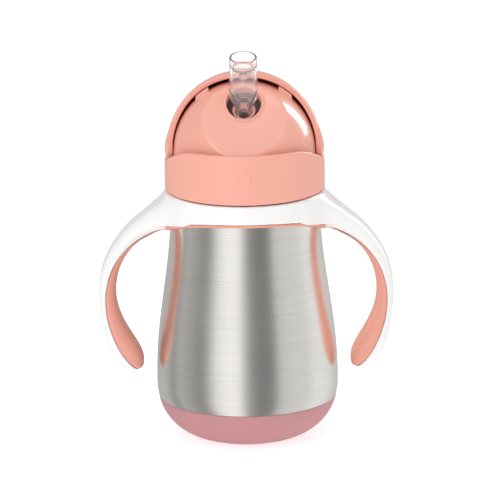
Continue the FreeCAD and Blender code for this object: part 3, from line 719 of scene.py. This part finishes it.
collar = carved("lid_collar_shell", collar_field, (-36.2, -36.2, 110.6), (36.2, 36.2, 136), 0.5)
dress(collar, PINK, "lid", ["lid_collar"])

DOME_R, DOME_WALL, PAD_R = 31.45, 1.95, 31.35
dome_centre = np.array([0.0, 0.0, PIVOT[2] - 2.0])
DOME_BASE = node_box("dome")[0][2]


def leaning(degrees):
    """Direction that leans forward from upright."""
    return np.array([0.0, -math.sin(math.radians(degrees)), math.cos(math.radians(degrees))])


RIM, SCOOP = 18.3, 70.0
scoop_centre = dome_centre + leaning(45.0) * (math.sqrt(DOME_R ** 2 - RIM ** 2)
                                              + math.sqrt(SCOOP ** 2 - RIM ** 2))
WELL_TILT, LEAN = 42.0, 14.6
well_mouth = np.array([0.0, -9.8, 151.3])
well_axis = leaning(WELL_TILT)
WELL_R, WELL_DEPTH = 7.5, 5.0


def well_coordinates(x, y, z):
    """Height along the well's axis and distance from it."""
    along = (y - well_mouth[1]) * well_axis[1] + (z - well_mouth[2]) * well_axis[2]
    across = (y - well_mouth[1]) * well_axis[2] - (z - well_mouth[2]) * well_axis[1]
    return along, length(x, across)


def dome_field(x, y, z):
    """The fixed dome: scoop, spout well with its lip, guide pads, pin holes and vent hole."""
    ball = length(x, y, z - dome_centre[2])
    hollow = length(x, y - scoop_centre[1], z - scoop_centre[2])
    outside = round_max(ball - DOME_R, SCOOP - hollow, 1.1)
    inside = np.maximum(ball - DOME_R + DOME_WALL, SCOOP + DOME_WALL - hollow)
    shell = np.maximum(outside, -inside)
    t, r = well_coordinates(x, y, z)
    boss = np.maximum(np.maximum(r - WELL_R - 1.4, -t - WELL_DEPTH - 1.6), outside)
    shell = np.minimum(shell, boss)
    lip = length(r - WELL_R - 0.75, SCOOP - hollow) - 0.7
    shell = round_min(shell, lip, 0.5)
    shell = round_max(shell, -np.maximum(r - WELL_R, -t - WELL_DEPTH), 0.45)
    shell = np.maximum(shell, 3.8 - r)
    px = np.abs(x)
    around = length(x, y, z - PIVOT[2])
    pad = round_max(around - PAD_R, np.maximum(np.abs(px - 18.2) - 2.9,
                                              np.maximum(-2.6 - y, y - 24.0)), 0.5)
    pad = np.maximum(pad, np.maximum(142.0 - z, 30.0 - ball))
    shell = round_min(shell, pad, 0.3)
    pin = length(y, z - PIVOT[2]) - 2.06
    back = leaning(-52.0)
    va = y * back[1] + (z - dome_centre[2]) * back[2]
    vr = length(x, y * back[2] - (z - dome_centre[2]) * back[1])
    vent = np.maximum(vr - 2.5, -va)
    shell = np.maximum(shell, -np.minimum(pin, vent))
    return np.maximum(shell, DOME_BASE - z)


dome = carved("lid_dome", dome_field, (-32.4, -32.4, 126), (32.4, 32.4, 162.5), 0.5)
dress(dome, GLOSS_PINK, "lid", ["dome"])

COVER_R, COVER_WALL, EAR_FACE = 33.9, 2.3, node_box("slide_cover")[1][0]
front_edge = turned_back(edge_line(0.0), SWING)
back_edge = edge_line(0.0) * np.array([-1.0, 1.0])
low_arc = arc_points((0, 0), EAR, -90 - math.degrees(EDGE_SLOPE),
                     -90 + math.degrees(EDGE_SLOPE) + SWING, 40)
cover_outline = Outline(
    np.concatenate([back_edge[::-1], low_arc, front_edge, [[-10, 80], [-FAR, FAR]]]),
    (-38, -8), (38, 38), 0.25)


def cover_field(x, y, z):
    """The swinging half dome, thicker at its two ears, with the pivot pins."""
    up = z - PIVOT[2]
    px = np.abs(x)
    ball = length(x, y, up)
    axle = length(y, up)
    swell = (EAR_FACE - COVER_R) * np.exp(-(axle / (EAR + 0.4)) ** 2)
    outside = ball - COVER_R - swell
    inside = ball - COVER_R + COVER_WALL - 0.3 * np.exp(-(axle / 8.0) ** 2)
    shell = round_max(outside, -inside, 0.35)
    shell = round_max(shell, cover_outline(-y, up), 0.5)
    pin = np.maximum(axle - 2.0, np.maximum(28.7 - px, px - 32.5))
    return np.minimum(shell, pin)


cover = carved("slide_visor", cover_field, (-36, -12, 123), (36, 35, 165), 0.5)
dress(cover, GLOSS_PINK, "cover", ["slide_cover"])

# ---------------------------------------------------------------- straw spout

TIP_R, WAIST_R, SPOUT_LENGTH, SPOUT_WALL = 6.1, 6.2, 23.3, 1.1


def spout_tilt(height):
    """Tilt from upright, from the well's at the bottom to the spout's own lean."""
    share = np.clip((height + 4.0) / 7.0, 0, 1)
    share = share * share * (3 - 2 * share)
    return np.radians(WELL_TILT * (1 - share) + LEAN * share)


def spout_place(height):
    """Centre and tilt along the spout, which bends out of the well's axis."""
    table = np.linspace(-14.0, SPOUT_LENGTH + 1, 400)
    lean = spout_tilt(table)
    step = table[1] - table[0]
    y = np.cumsum(-np.sin(lean)) * step
    z = np.cumsum(np.cos(lean)) * step
    middle = np.argmin(np.abs(table))
    y, z = y - y[middle] + well_mouth[1], z - z[middle] + well_mouth[2]
    centre = np.stack([np.zeros_like(height), np.interp(height, table, y),
                       np.interp(height, table, z)], -1)
    return centre, spout_tilt(height)


tip, bore = SPOUT_LENGTH, 2.2
seat_outline = outline_points((5.1, -4.9), [
    ((7.42, -4.9),),
    ((7.42, -2.1),),
    ((7.42, -1.8), (7.0, -1.8), (6.9, -2.1)),
    ((6.7, -3.2), (6.2, -3.8), (5.1, -4.3)),
], 12)


def well_place(height):
    """Centre and tilt along the straight well."""
    centre = well_mouth + np.asarray(height)[..., None] * well_axis
    return centre, np.full(np.shape(height), math.radians(WELL_TILT))


# The seat's near-black colour paints the shade deep inside the spout well.
seat = turned("spout_seat", seat_outline, 128, place=well_place)
dress(seat, WELL_SHADE_SILICONE, "lid", ["spout_base"])

spout_outline = outline_points((bore, -6.6), [
    ((3.6, -6.6),),
    ((3.6, -2.4),),
    ((3.7, 0.8), (WAIST_R, 1.8), (WAIST_R, 6.0)),
    ((WAIST_R, 13.0), (TIP_R, 16.0), (TIP_R, tip - 0.7)),
    ((TIP_R, tip - 0.1), (TIP_R - 0.2, tip), (TIP_R - SPOUT_WALL * 0.5, tip)),
    ((TIP_R - SPOUT_WALL, tip), (TIP_R - SPOUT_WALL, tip - 0.3),
     (TIP_R - SPOUT_WALL, tip - 0.8)),
    ((TIP_R - SPOUT_WALL, tip - 4.2),),
    ((TIP_R - SPOUT_WALL - 0.1, tip - 5.0), (0.9, tip - 10.0), (0.0, tip - 10.6)),
    ((0.0, tip - 11.6),),
    ((0.9, tip - 11.2), (WAIST_R - SPOUT_WALL, tip - 6.6), (WAIST_R - SPOUT_WALL, tip - 6.0)),
    ((WAIST_R - SPOUT_WALL, 13.0), (WAIST_R - SPOUT_WALL, 11.0), (WAIST_R - SPOUT_WALL, 8.0)),
    ((WAIST_R - SPOUT_WALL, 4.4), (bore, 4.0), (bore, -1.0)),
], 24)
spout = turned("clear_spout", smoothed(spout_outline, 0.25), 128, place=spout_place)
dress(spout, CLEAR, None)
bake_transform(spout)
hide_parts("spout_tip")
spout.visible_shadow = False
spout.visible_diffuse = False

# ---------------------------------------------------------------- carried-over nodes

FINISH = {
    "inner_vessel": STEEL_INSIDE, "base_plate": STEEL, "vacuum_seal": SOLDER,
    "getter_pellet": SOLDER, "threaded_insert": PINK, "vent_valve": SEAL, "lid_gasket": SEAL,
    "dip_straw": CLEAR, "weight_cup": CLEAR, "weight_core": STEEL_INSIDE, "weight_cap": CLEAR,
}
for name, material in FINISH.items():
    data = frame["nodes"][name].data
    data.materials.clear()
    data.materials.append(material)

# ---------------------------------------------------------------- floor, light and camera

floor_mesh = bpy.data.meshes.new("floor")
FLOOR_HALF, LIGHT_AIM = 6.0, 0.09
corners = [(x * FLOOR_HALF, y * FLOOR_HALF, 0) for x, y in ((-1, -1), (1, -1), (1, 1), (-1, 1))]
floor_mesh.from_pydata(corners, [], [(0, 1, 2, 3)])
floor = bpy.data.objects.new("floor", floor_mesh)
bpy.context.scene.collection.objects.link(floor)
floor_material, nodes, links, shader = new_material("floor_white")
tone = object_noise(nodes, links, (1, 1, 1), 3.0)
links.new(ramp(nodes, links, tone.outputs["Fac"], (0.66, 0.66, 0.66), (0.68, 0.68, 0.68)),
          shader.inputs["Base Color"])
shader.inputs["Roughness"].default_value = 0.9
shader.inputs["Specular IOR Level"].default_value = 0.1
shader.inputs["Emission Color"].default_value = (1.0, 1.0, 1.0, 1.0)
shader.inputs["Emission Strength"].default_value = 0.66
floor_mesh.materials.append(floor_material)
floor.visible_glossy = False


def soft_box(name, azimuth, elevation, distance, size, power):
    """A rectangular studio light aimed at the cup; azimuth 0 is the camera's side."""
    light = bpy.data.lights.new(name, "AREA")
    light.shape = "RECTANGLE"
    light.size, light.size_y = size
    light.energy = power
    lamp = bpy.data.objects.new(name, light)
    a, e = math.radians(azimuth), math.radians(elevation)
    offset = Vector((math.sin(a) * math.cos(e), -math.cos(a) * math.cos(e), math.sin(e)))
    lamp.location = Vector((0, 0, LIGHT_AIM)) + offset * distance
    lamp.rotation_euler = (-offset).to_track_quat("-Z", "Y").to_euler()
    lamp.visible_camera = False
    bpy.context.scene.collection.objects.link(lamp)
    return lamp


soft_box("key_left", -30, 38, 1.7, (0.7, 1.2), 7)
strip = soft_box("strip_right", 130, 22, 1.3, (0.26, 0.75), 14)
strip.visible_diffuse = False
soft_box("top", 0, 86, 1.6, (1.6, 1.6), 6.5)

# Gloss and diffuse light see a grey sweep round the cup, as (degrees, brightness) with 0 on the
# camera's side; the camera itself sees white paper.
world = bpy.data.worlds.new("studio")
bpy.context.scene.world = world
world.use_nodes = True
nodes, links = world.node_tree.nodes, world.node_tree.links
nodes.clear()
place = nodes.new("ShaderNodeTexCoord")
parts = nodes.new("ShaderNodeSeparateXYZ")
links.new(place.outputs["Generated"], parts.inputs[0])
turn = add_node(nodes, "ShaderNodeMath", operation="MULTIPLY")
turn.inputs[1].default_value = -1.0
links.new(parts.outputs["Y"], turn.inputs[0])
angle = add_node(nodes, "ShaderNodeMath", operation="ARCTAN2")
links.new(parts.outputs["X"], angle.inputs[0])
links.new(turn.outputs[0], angle.inputs[1])
share = nodes.new("ShaderNodeMapRange")
share.inputs["From Min"].default_value = -math.pi
share.inputs["From Max"].default_value = math.pi
links.new(angle.outputs[0], share.inputs["Value"])
sweep = nodes.new("ShaderNodeValToRGB")
AZIMUTHS = [(-180, 0.8), (-130, 0.8), (-108, 0.5), (-96, 0.75), (-84, 0.62), (-62, 0.43),
            (-53, 0.6), (-47, 0.95), (-40, 1.35), (-26, 1.6), (-11, 1.6), (-3, 0.85), (6, 0.42),
            (20, 0.33), (32, 0.35), (37, 0.6), (43, 1.0), (60, 1.08), (80, 1.1), (100, 1.35),
            (120, 1.3), (145, 1.0), (180, 0.8)]
elements = sweep.color_ramp.elements
while len(elements) > 1:
    elements.remove(elements[0])
for number, (degrees, value) in enumerate(AZIMUTHS):
    position = (degrees + 180) / 360
    element = elements[0] if number == 0 else elements.new(position)
    element.position = position
    element.color = (value, value, value, 1.0)
sweep.color_ramp.interpolation = "EASE"
links.new(share.outputs["Result"], sweep.inputs["Fac"])
rays = nodes.new("ShaderNodeLightPath")
studio = nodes.new("ShaderNodeBackground")
studio.inputs["Strength"].default_value = 0.62
links.new(sweep.outputs["Color"], studio.inputs["Color"])
paper = nodes.new("ShaderNodeBackground")
paper.inputs["Strength"].default_value = 1.0
paper.inputs["Color"].default_value = (1.0, 1.0, 1.0, 1.0)
choice = nodes.new("ShaderNodeMixShader")
output = nodes.new("ShaderNodeOutputWorld")
seen = add_node(nodes, "ShaderNodeMath", operation="MAXIMUM")
links.new(rays.outputs["Is Camera Ray"], seen.inputs[0])
links.new(rays.outputs["Is Transmission Ray"], seen.inputs[1])
links.new(seen.outputs[0], choice.inputs["Fac"])
links.new(studio.outputs[0], choice.inputs[1])
links.new(paper.outputs[0], choice.inputs[2])
links.new(choice.outputs[0], output.inputs["Surface"])

scene = bpy.context.scene
scene.view_settings.view_transform = "Standard"
scene.view_settings.look = "None"

DISTANCE, ELEVATION, VIEW_WIDTH, ROLL = 2.75, 14.5, 0.2203, 0.8
target = Vector((0.00185, 0.0, 0.083))
camera_data = bpy.data.cameras.new("camera")
camera_data.sensor_width = 36.0
camera_data.lens = 36.0 * DISTANCE / VIEW_WIDTH
camera = bpy.data.objects.new("camera", camera_data)
scene.collection.objects.link(camera)
up = math.radians(ELEVATION)
offset = Vector((0, -math.cos(up), math.sin(up)))
camera.matrix_world = (Matrix.Translation(target + offset * DISTANCE)
                       @ (-offset).to_track_quat("-Z", "Y").to_matrix().to_4x4()
                       @ Matrix.Rotation(math.radians(-ROLL), 4, "Z"))
scene.camera = camera
